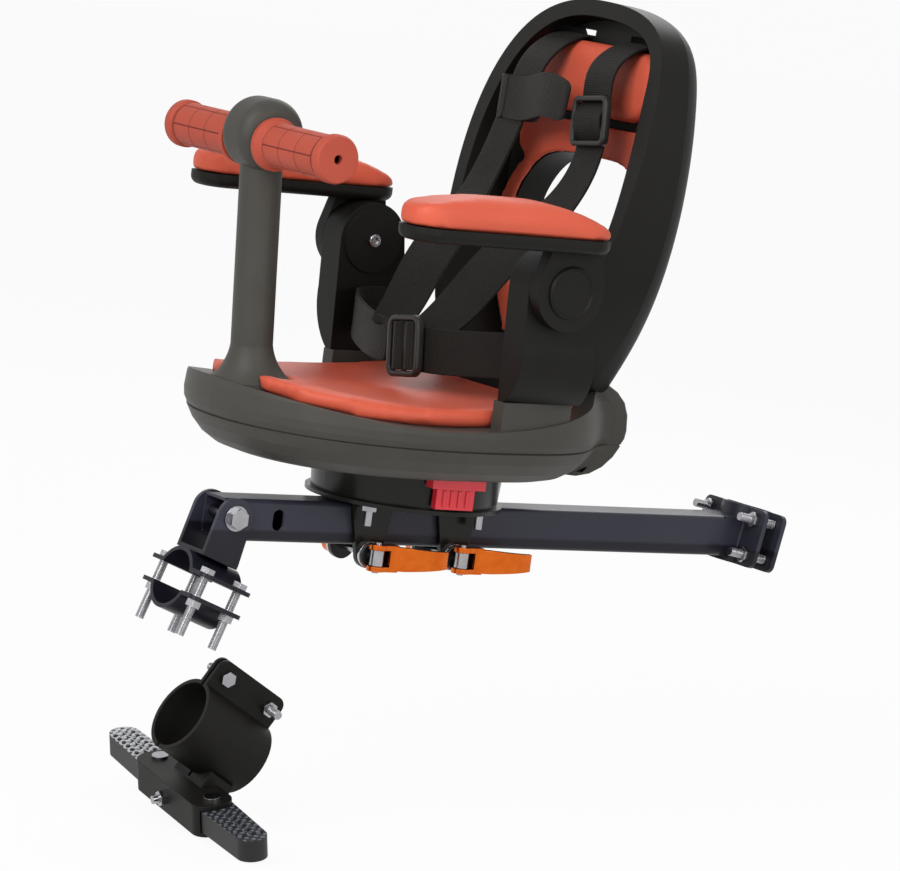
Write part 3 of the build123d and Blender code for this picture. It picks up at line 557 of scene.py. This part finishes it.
def puff(skin, swell, cap):
    """Blow the skin up a little with cloth pressure, no point moving further than the cap."""
    before = [v.co.copy() for v in skin.vertices]
    work = bpy.data.objects.new("puff_work", skin.copy())
    bpy.context.collection.objects.link(work)
    cloth = work.modifiers.new("cloth", "CLOTH")
    cloth.settings.use_pressure = True
    cloth.settings.uniform_pressure_force = swell
    cloth.settings.effector_weights.gravity = 0.0
    scene = bpy.context.scene
    for step in range(1, CLOTH_STEPS + 1):
        scene.frame_set(step)
    blown = as_mesh(work)
    scene.frame_set(1)
    for vert, old, new in zip(skin.vertices, before, blown.vertices):
        move = new.co - old
        if move.length > cap:
            move = move.normalized() * cap
        vert.co = old + move
    bpy.data.objects.remove(work)


def pad(node, voxel, swell, cap, relax):
    """A foam pad for a node: voxel size and cap in metres, cloth pressure, and rounds of smoothing."""
    bm = bmesh.new()
    bm.from_mesh(NODES[node].data)
    bmesh.ops.remove_doubles(bm, verts=bm.verts, dist=1e-5)
    start = bpy.data.meshes.new("pad_start")
    bm.to_mesh(start)
    bm.free()
    work = bpy.data.objects.new("pad_work", start)
    bpy.context.collection.objects.link(work)
    remesh = work.modifiers.new("even", "REMESH")
    remesh.mode = "VOXEL"
    remesh.voxel_size = voxel
    skin = as_mesh(work)
    bpy.data.objects.remove(work)
    bm = bmesh.new()
    bm.from_mesh(skin)
    for _ in range(relax):
        bmesh.ops.smooth_vert(bm, verts=bm.verts, factor=0.5,
                              use_axis_x=True, use_axis_y=True, use_axis_z=True)
    bm.to_mesh(skin)
    bm.free()
    puff(skin, swell, cap)
    piece = finished(node + "_soft", skin, FOAM, node)
    add_subdivision(piece, 1)
    return piece


for node, recipe in PADS.items():
    print(node, len(pad(node, *recipe).data.vertices), "points")

# %% [markdown]
# ## Rubber grips
# Each grip is turned: a flange against the post head, a plain collar, a patterned barrel and a thick end
# with a small hole. A profile of a few points, closed through the bore, is spun round the bar. Then every
# field of the barrel is inset and pushed outwards, which leaves the grid of grooves between the blocks. A
# bump could draw those grooves, but real ones also show in the outline.

# %% Rubber grips
GRIP_FIELDS = 6
FIRST_FIELD = 5
FIELD_ROWS = 3
GROOVE_HALF = 0.0007
BLOCK_RISE = 0.0007
GRIP_EDGE = 0.00035
GRIP_PROFILE = [(11.2, 20.0), (18.5, 20.0), (18.5, 24.5), (16.2, 26.0), (15.6, 28.5), (14.6, 29.5),
                (14.6, 50.5), (14.6, 72.0), (14.6, 93.5), (15.0, 94.5), (15.0, 96.2), (16.8, 97.5),
                (16.8, 103.0), (15.6, 105.3), (3.2, 105.3), (3.2, 100.0), (11.2, 100.0), (11.2, 20.0)]


def turned(profile, steps=48):
    """Spin a profile of radius and height, in millimetres, round the Y axis."""
    bm = bmesh.new()
    ring = [bm.verts.new((radius * MM, along * MM, 0.0)) for radius, along in profile]
    for a, b in zip(ring, ring[1:]):
        bm.edges.new((a, b))
    bmesh.ops.spin(bm, geom=bm.verts[:] + bm.edges[:], cent=(0, 0, 0), axis=(0, 1, 0),
                   angle=math.tau, steps=steps, use_merge=True)
    bmesh.ops.remove_doubles(bm, verts=bm.verts, dist=1e-6)
    return bm


def grip(node, side):
    bm = turned(GRIP_PROFILE)
    bmesh.ops.recalc_face_normals(bm, faces=bm.faces)
    fields = {}
    step = math.tau / GRIP_FIELDS
    for face in bm.faces:
        middle = face.calc_center_median()
        for i in range(FIRST_FIELD, FIRST_FIELD + FIELD_ROWS):
            if GRIP_PROFILE[i][1] * MM < middle.y < GRIP_PROFILE[i + 1][1] * MM:
                turn = (math.atan2(middle.z, middle.x) % math.tau) // step
                fields.setdefault((i, turn), []).append(face)
    for faces in fields.values():
        bmesh.ops.inset_region(bm, faces=faces, thickness=GROOVE_HALF, depth=BLOCK_RISE, use_even_offset=True)
    bmesh.ops.scale(bm, vec=(1, side, 1), verts=bm.verts)
    bmesh.ops.translate(bm, vec=(BAR_X, 0, BAR_Z), verts=bm.verts)
    bmesh.ops.recalc_face_normals(bm, faces=bm.faces)
    piece = finished(node + "_blocks", bm, GRIP, node)
    soften(piece, GRIP_EDGE)
    return piece


for node, side in (("grip_left", 1), ("grip_right", -1)):
    print(node, len(grip(node, side).data.polygons), "faces")

# %% [markdown]
# ## Harness webbing
# A strap is a strip that turns and twists through a few stations. It starts as a plain grid with one row for
# each station, so its map can be written before the rows move to their places. A subdivision rounds the
# bends and a Solidify gives the webbing its thickness. Cloth could drape it, but a strap under its own
# buckle hardly sags, and the stations keep it where the slots and frames hold it.

# %% Webbing strips
STRAP_W = 0.032
STRAP_T = 0.0018
STRAP_CELLS = 4


def strap(node, route, name=None, width=STRAP_W, stands=True):
    """A strip through stations, each a middle point in millimetres and the direction across the web."""
    spots = [Vector(p) * MM for p, _ in route]
    last = len(spots) - 1
    runs = [0.0]
    wides = []
    for i, (_, across) in enumerate(route):
        along = (spots[min(i + 1, last)] - spots[max(i - 1, 0)]).normalized()
        wide = Vector(across)
        wides.append((wide - along * wide.dot(along)).normalized())
        if i:
            runs.append(runs[-1] + (spots[i] - spots[i - 1]).length)
    bm = bmesh.new()
    bmesh.ops.create_grid(bm, x_segments=STRAP_CELLS, y_segments=last, size=0.5)
    chart = bm.loops.layers.uv.new("UVMap")
    station = {vert: round((vert.co.y + 0.5) * last) for vert in bm.verts}
    shift = {vert: vert.co.x * width for vert in bm.verts}
    for face in bm.faces:
        for loop in face.loops:
            loop[chart].uv = (shift[loop.vert], runs[station[loop.vert]])
    for vert, i in station.items():
        vert.co = spots[i] + wides[i] * shift[vert]
    piece = finished(name or node + "_web", bm, WEBBING, node, stands)
    add_subdivision(piece, 3)
    thick = piece.modifiers.new("thickness", "SOLIDIFY")
    thick.thickness = STRAP_T
    thick.offset = 0.0
    return piece


print("webbing", STRAP_W / MM, "by", STRAP_T / MM, "mm")

# %% [markdown]
# ## The harness routes
# The shoulder straps come through slots in the leaning backrest, hang down its front and cross to the waist
# buckle. The chest strap lies loose across them, and the two halves of the belt run from the buckle round to
# the hips. Each route is a list of stations in millimetres, read off the real harness from top to bottom.

# %% Harness routes
BACK_AT = Vector((0.190, 0.0, 0.103))
BACK_LEAN = math.radians(4.8)
SLOT_LEVEL = 255.0
HIP = 110.05
BUCKLE_X = 326.0
BUCKLE_Z = 128.5
FLAT = (0, 1, 0)
UP = (0, 0, 1)
TURNED = (-0.5, 0.8, -0.3)
EASING = (-0.2, 0.9, -0.3)
SQUARE = (0, 0.9, -0.3)
LEANING = (-0.033, 0, 1)


def on_back(depth, y, height):
    """A point of the leaning backrest in millimetres of the seat."""
    x = BACK_AT.x / MM + depth * math.cos(BACK_LEAN) - height * math.sin(BACK_LEAN)
    z = BACK_AT.z / MM + depth * math.sin(BACK_LEAN) + height * math.cos(BACK_LEAN)
    return (x, y, z)


STRAPS = {
    "shoulder_strap_left": [
        (on_back(-4, 41, SLOT_LEVEL), FLAT), (on_back(20, 41, SLOT_LEVEL), FLAT), ((215, 43, 341), FLAT),
        ((216, 46, 318), FLAT), ((217, 50, 284), FLAT), ((222, 46, 258), FLAT),
        ((236, 40, 232), (-0.2, 1, 0)), ((262, 34, 208), TURNED), ((282, 30, 184), TURNED),
        ((297, 26, 160), TURNED), ((313, 20, 142), EASING), ((324.6, 15, 133.3), SQUARE)],
    "shoulder_strap_right": [
        (on_back(-4, -41, SLOT_LEVEL), FLAT), (on_back(20, -41, SLOT_LEVEL), FLAT), ((214, -42, 339), FLAT),
        ((215, -50, 314), FLAT), ((216, -62, 284), FLAT), ((222, -68, 256), FLAT),
        ((236, -66, 230), FLAT), ((262, -52, 208), TURNED), ((287, -38, 186), TURNED),
        ((302, -30, 164), TURNED), ((315, -23, 147), EASING), ((324.6, -18.5, 138.7), SQUARE)],
    "chest_strap": [
        ((217.2, -74, 306), LEANING), ((217.2, -36, 306), LEANING), ((225, -10, 316), LEANING),
        ((225, 23, 311), (0, 0.1, 1))],
}
BELT = [(32, 0, 0), (60, 3, 7), (90, 7, 18), (HIP - 3, 9.5, 28), (HIP - 0.4, 10, 35), (HIP, 11, 44),
        (HIP, 11.5, 60)]
for node, side, first in (("waist_belt_left", 1, -10), ("waist_belt_right", -1, -13)):
    STRAPS[node] = [((BUCKLE_X, first, BUCKLE_Z), UP)]
    STRAPS[node] += [((BUCKLE_X - x, side * y, BUCKLE_Z + z), UP) for y, z, x in BELT]
for node, route in STRAPS.items():
    strap(node, route)
print("straps:", len(STRAPS))

# %% [markdown]
# ## Slide frames
# The adjuster on the near strap and the buckle on the belt are moulded frames with round corners and a bar
# across the middle. One face has its corners rounded and is inset to a rim, then it gets its thickness and
# a soft edge. A bar is a plain cube, pulled to size.

# %% Slide frames
FRAME_T = 6.0
FRAME_EDGE = 0.0014
SHARP = 1.0
BAR = (3.0, 2.6)
BAR_RIMS = 1.6


def slide_mesh(length, height, rim, corner):
    """A frame round the origin, flat in X and Y, with a bar across its middle; sizes in millimetres."""
    bm = bmesh.new()
    bmesh.ops.create_grid(bm, x_segments=1, y_segments=1, size=0.5)
    bmesh.ops.scale(bm, vec=(length * MM, height * MM, 1), verts=bm.verts)
    bmesh.ops.bevel(bm, geom=bm.verts[:], offset=corner * MM, segments=5, profile=0.5, affect="VERTICES",
                    material=-1)
    hole = bm.faces[:]
    bmesh.ops.inset_region(bm, faces=hole, thickness=rim * MM, use_even_offset=True, use_boundary=True)
    bmesh.ops.delete(bm, geom=hole, context="FACES")
    raised = bmesh.ops.extrude_face_region(bm, geom=bm.faces[:])["geom"]
    lifted = [item for item in raised if isinstance(item, bmesh.types.BMVert)]
    bmesh.ops.translate(bm, vec=(0, 0, FRAME_T * MM), verts=lifted)
    bmesh.ops.translate(bm, vec=(0, 0, -FRAME_T * MM / 2), verts=bm.verts)
    bmesh.ops.recalc_face_normals(bm, faces=bm.faces)
    edges = [edge for edge in bm.edges if edge.calc_face_angle(0.0) > SHARP]
    bmesh.ops.bevel(bm, geom=edges, offset=FRAME_EDGE, segments=3, profile=0.5, affect="EDGES", material=-1)
    bar = Matrix.Diagonal((BAR[0] * MM, (height - BAR_RIMS * rim) * MM, BAR[1] * MM, 1.0))
    bmesh.ops.create_cube(bm, size=1.0, matrix=bar)
    return bm


print("slide frames are", FRAME_T, "mm thick")

# %% [markdown]
# ## Webbing in the frames
# A frame lies on the outer face of the webbing between two stations, and its webbing climbs over the bar in
# folds. Each fold is a short strap of its own, in the frame's own directions. The chest strap turns back on
# itself round the far shoulder strap, so a last strip makes that loop.

# %% Webbing in the frames
FOLD = ((-0.75, -0.6), (-0.35, 3.6), (0.35, 3.6), (0.75, -0.6))
FOLD_ENDS = -3.2
FOLD_GAP = 0.4
FOLD_SLIM = 1.0
FRAME_Z = 129


def slide_frame(node, first, second, size, rim, corner, folds, lean=0.0):
    """A frame on the outer face of the webbing between two stations, with webbing folded over its bar."""
    length, height = size
    p, q = Vector(first[0]), Vector(second[0])
    along = (q - p).normalized()
    wide = Vector(first[1])
    wide = (wide - along * wide.dot(along)).normalized()
    out = wide.cross(along)
    out = out if out.x > 0 else -out
    middle = (p + q) / 2 + out * (STRAP_T / MM + FRAME_T) / 2
    turn = Matrix((along, out.cross(along), out)).transposed().to_4x4()
    turn = turn @ Matrix.Rotation(math.radians(lean), 4, "Z")
    place = Matrix.Translation(middle * MM) @ turn
    bm = slide_mesh(length, height, rim, corner)
    bmesh.ops.transform(bm, matrix=place, verts=bm.verts)
    bmesh.ops.recalc_face_normals(bm, faces=bm.faces)
    finished(node + "_frame", bm, FINISHES["buckle_plastic"], node)
    room = length / 2 - rim - FOLD_GAP
    half = room / folds
    steps = [(-room, FOLD_ENDS)]
    for k in range(folds):
        at = (2 * k + 1 - folds) * room / folds
        steps += [(at + half * share, rise) for share, rise in FOLD]
    steps.append((room, FOLD_ENDS))
    across = tuple(turn @ Vector((0, 1, 0)))
    fold = [(tuple(place @ Vector((a * MM, 0, rise * MM)) / MM), across) for a, rise in steps]
    strap(node, fold, node + "_fold", (height - 2 * rim - FOLD_SLIM) * MM, False)


near = STRAPS["shoulder_strap_left"]
slide_frame("strap_adjuster", near[3], near[4], size=(36, 41), rim=4.0, corner=6.0, folds=1)
belt_ends = [((BUCKLE_X, y, FRAME_Z), UP) for y in (-6, 36)]
slide_frame("waist_buckle", *belt_ends, size=(40, 44), rim=4.4, corner=8.0, folds=2, lean=8.0)
LOOP = [(217.6, -66), (217.4, -73), (215.6, -76.5), (213.4, -75), (212.6, -68), (212.2, -40), (213.2, -30),
        (218, -20)]
LOOP_Z = 306
LOOP_BEND = -36
LOOP_RISE = 0.3
loop = [((x, y, LOOP_Z + max(0, y - LOOP_BEND) * LOOP_RISE), LEANING) for x, y in LOOP]
strap("chest_strap", loop, "chest_strap_loop", STRAP_W, False)
print("slide frames and the loop of the chest strap")

# %% [markdown]
# ## Hub caps and screws
# The armrest turns on a screw. Outside, its end wears a turned cap with a raised ring; inside, the screw
# shows a plated head with a six-sided socket. Cap and screw are spun profiles, and the socket is an inset
# of the end face pulled to a hexagon and pushed in.

# %% Hub caps and screws
HUB_AT = Vector((0.287, 0.0, 0.189))
CAP_PROFILE = [(0.0, 148.8), (15.6, 148.8), (16.3, 149.6), (17.1, 149.6), (17.7, 148.8), (18.4, 148.2),
               (18.4, 147.25), (0.0, 147.25)]
CAP_EDGE = 0.0002
HEAD_R = 4.8
HEAD_Y = (106.9, 109.5)
HEAD_CHAMFER = 0.5
HEAD_RIM = 0.0012
SHANK_R = 4.0
SHANK_END = 147.2
SHANK = [(HEAD_R - HEAD_CHAMFER, HEAD_Y[0]), (HEAD_R, HEAD_Y[0] + HEAD_CHAMFER), (HEAD_R, HEAD_Y[1]),
         (SHANK_R, HEAD_Y[1]), (SHANK_R, SHANK_END), (0.0, SHANK_END)]
SHANK_STEPS = 36
SOCKET_R = 2.6
SOCKET_DEPTH = 1.7
SCREW_EDGE = 0.0001


def set_on_hub(bm, side):
    bmesh.ops.scale(bm, vec=(1, side, 1), verts=bm.verts)
    bmesh.ops.translate(bm, vec=HUB_AT, verts=bm.verts)
    bmesh.ops.recalc_face_normals(bm, faces=bm.faces)
    return bm


def socket_screw():
    """A turned screw along Y, with a hexagon sunk into its head."""
    bm = turned(SHANK, SHANK_STEPS)
    rim = [edge for edge in bm.edges if all(abs(v.co.y - HEAD_Y[0] * MM) < 1e-6 for v in edge.verts)]
    end = bmesh.ops.contextual_create(bm, geom=rim)["faces"]
    bmesh.ops.inset_region(bm, faces=end, thickness=HEAD_RIM)
    for vert in end[0].verts:
        angle = math.atan2(vert.co.z, vert.co.x)
        reach = SOCKET_R * MM * math.cos(math.pi / 6) / math.cos(angle % (math.pi / 3) - math.pi / 6)
        vert.co.x, vert.co.z = reach * math.cos(angle), reach * math.sin(angle)
    pushed = bmesh.ops.extrude_discrete_faces(bm, faces=end)["faces"]
    bmesh.ops.translate(bm, vec=(0, SOCKET_DEPTH * MM, 0), verts=pushed[0].verts[:])
    return bm


for node, side in (("hub_pin_left", 1), ("hub_pin_right", -1)):
    cap = finished(node + "_cap", set_on_hub(turned(CAP_PROFILE), side), FINISHES["black_plastic"], node)
    soften(cap, CAP_EDGE)
    screw = finished(node + "_screw", set_on_hub(socket_screw(), side), FINISHES["zinc"], node, False)
    soften(screw, SCREW_EDGE)
    print(node, len(cap.data.polygons), "faces on the cap,", len(screw.data.polygons), "on the screw")

# %% [markdown]
# ## Threads
# The clamp bolts stand well out of their nuts, and their threads catch the light. A thread is one small
# tooth carried round the bolt while it climbs: a spin with a rise. Its two ends are closed with a face, and
# the plain shank stays inside as the core.

# %% Threads
PITCH = 1.0
TOOTH_STEPS = 14
CORE_R = 2.9
CREST_R = 3.28
TOOTH = [(CORE_R, 0.0), (CREST_R, 0.4), (CREST_R, 0.6), (CORE_R, 1.0)]


def frame_of(at, x_dir, z_dir):
    """A frame at a point in millimetres, from its X and Z directions."""
    x, z = Vector(x_dir), Vector(z_dir)
    return Matrix.Translation(Vector(at) * MM) @ Matrix((x, z.cross(x), z)).transposed().to_4x4()


def threads(node, place, runs):
    """Threads on stretches of bolts, each a point and an axis of the frame, and where it starts and stops."""
    bm = bmesh.new()
    for at, axis, start, stop in runs:
        axis = Vector(axis)
        side = axis.orthogonal().normalized()
        foot = Vector(at) + axis * start
        turns = int((stop - start) / PITCH) - 1
        ring = [bm.verts.new((foot + side * radius + axis * along * PITCH) * MM) for radius, along in TOOTH]
        ridge = [bm.edges.new(pair) for pair in zip(ring, ring[1:] + ring[:1])]
        far = bmesh.ops.spin(bm, geom=ring + ridge, cent=foot * MM, axis=axis,
                             dvec=axis * PITCH * MM / TOOTH_STEPS, angle=math.tau * turns,
                             steps=TOOTH_STEPS * turns, use_merge=False)["geom_last"]
        bmesh.ops.contextual_create(bm, geom=ridge)
        bmesh.ops.contextual_create(bm, geom=[item for item in far if isinstance(item, bmesh.types.BMEdge)])
    bmesh.ops.transform(bm, matrix=place, verts=bm.verts)
    bmesh.ops.recalc_face_normals(bm, faces=bm.faces)
    return finished(node + "_threads", bm, FINISHES["zinc"], node, False)


print("pitch", PITCH, "mm, crest", CREST_R * 2, "mm across")

# %% [markdown]
# ## Where the threads show
# The rear clamp, the front clamp and the footrest each lean their own way, so each set of bolts has a frame
# of its own. A stretch of thread is a point, an axis and two heights in that frame. The stretches could be
# measured in the seat's frame, but then every bolt would need its own sums.

# %% Threads on the clamps
POST_LEAN = math.radians(10.0)
TUBE_SLOPE = math.radians(20.0)
FRONT_AT = (467, 0, -51)
REAR_RUNS = [(-7.0, 7.0), (15.5, 26.5)]
FRONT_RUNS = [(-8.0, 6.0), (14.0, 35.0)]
FOOT_RUN = (9.5, 21.5)
FOOT_SPOT = (39, 21)
REAR_SPOTS = [(0, y, z) for y in (-28, 28) for z in (-13.5, 13.5)]
FRONT_SPOTS = [(0, y, z) for y in (-28.5, 28.5) for z in (-14.5, 14.5)]
rear_place = frame_of((0, 0, 0), (math.cos(POST_LEAN), 0, math.sin(POST_LEAN)),
                      (-math.sin(POST_LEAN), 0, math.cos(POST_LEAN)))
front_place = frame_of(FRONT_AT, (-math.sin(TUBE_SLOPE), 0, math.cos(TUBE_SLOPE)),
                       (math.cos(TUBE_SLOPE), 0, math.sin(TUBE_SLOPE)))
foot_place = frame_of(FOOT_AT / MM, FOOT_X, FOOT_Z)
rear = [(at, (1, 0, 0), *run) for at in REAR_SPOTS for run in REAR_RUNS]
front = [(at, (-1, 0, 0), *run) for at in FRONT_SPOTS for run in FRONT_RUNS]
foot = [((FOOT_SPOT[0], 0, side * FOOT_SPOT[1]), (0, side, 0), *FOOT_RUN) for side in (-1, 1)]
for node, place, runs in (("seat_post_bolts", rear_place, rear), ("top_tube_bolts", front_place, front),
                          ("footrest_bolts", foot_place, foot)):
    print(node, len(threads(node, place, runs).data.polygons), "faces of thread")

# %% [markdown]
# ## Floor and air
# The seat hangs over a pale floor in plain soft light. The white of the backdrop belongs to the backdrop
# alone: a ray that shows the floor or the air sees them white, while the light that reaches the seat stays
# at the level where a colour comes out about as it is written. The floor keeps the seat's shadow.

# %% Floor and air
FLOOR_SIZE = 12.0
FLOOR_DROP = 0.001
SHOWN_WHITE = 0.93
BACKDROP = 0.96
AIR = 0.42
WHITE = (1.0, 1.0, 1.0, 1.0)
floor_bm = bmesh.new()
bmesh.ops.create_grid(floor_bm, x_segments=1, y_segments=1, size=FLOOR_SIZE)
bmesh.ops.translate(floor_bm, vec=(0, 0, CAD_BOX[0][2] - FLOOR_DROP), verts=floor_bm.verts)
floor_mesh = bpy.data.meshes.new("floor")
floor_bm.to_mesh(floor_mesh)
floor_bm.free()
floor = bpy.data.objects.new("floor", floor_mesh)
bpy.context.collection.objects.link(floor)
paper = Finish("paper_floor", Roughness=0.9)
paper.set(Base_Color=paper.blend(paper.cloud(2.0), rgb(222, 222, 222), rgb(228, 228, 228)))
white = paper.node("ShaderNodeEmission", None, {"Strength": 1.0})
mixed = paper.node("ShaderNodeMixShader", None, {0: paper.shown() * SHOWN_WHITE, 1: paper.shader.outputs[0],
                                                 2: white.outputs[0]})
paper.feed(paper.tree.nodes["Material Output"].inputs["Surface"], mixed.outputs[0])
floor_mesh.materials.append(paper.material)

world = bpy.data.worlds.new("studio_world")
bpy.context.scene.world = world
world.use_nodes = True
air = Nodes(world.node_tree)
light = air.node("ShaderNodeBackground", None, {"Color": WHITE, "Strength": AIR})
backdrop = air.node("ShaderNodeBackground", None, {"Color": WHITE, "Strength": BACKDROP})
choice = air.node("ShaderNodeMixShader", None, {0: air.shown(), 1: light.outputs[0], 2: backdrop.outputs[0]})
air.feed(air.tree.nodes["World Output"].inputs["Surface"], choice.outputs[0])
print("floor at", round(CAD_BOX[0][2] - FLOOR_DROP, 4), "m")

# %% [markdown]
# ## Lamps
# Three large lamps are enough: a key from the front, a fill from the near side and a weak one from behind,
# which lifts the far edges off the backdrop. Large lamps give soft shadows, as a studio's soft boxes do.


# %% Lamps
def lamp(name, at, aim, size, watts):
    data = bpy.data.lights.new(name, "AREA")
    data.size = size
    data.energy = watts
    made = bpy.data.objects.new(name, data)
    made.location = at
    made.rotation_euler = (Vector(aim) - Vector(at)).to_track_quat("-Z", "Y").to_euler()
    bpy.context.collection.objects.link(made)


MIDDLE = (0.25, 0.0, 0.1)
lamp("key", (2.2, 0.9, 1.4), MIDDLE, size=1.4, watts=46)
lamp("fill", (0.2, 2.6, 1.0), MIDDLE, size=1.6, watts=26)
lamp("back", (-1.2, -1.4, 1.6), MIDDLE, size=1.4, watts=18)
print("lamps aim at", MIDDLE)
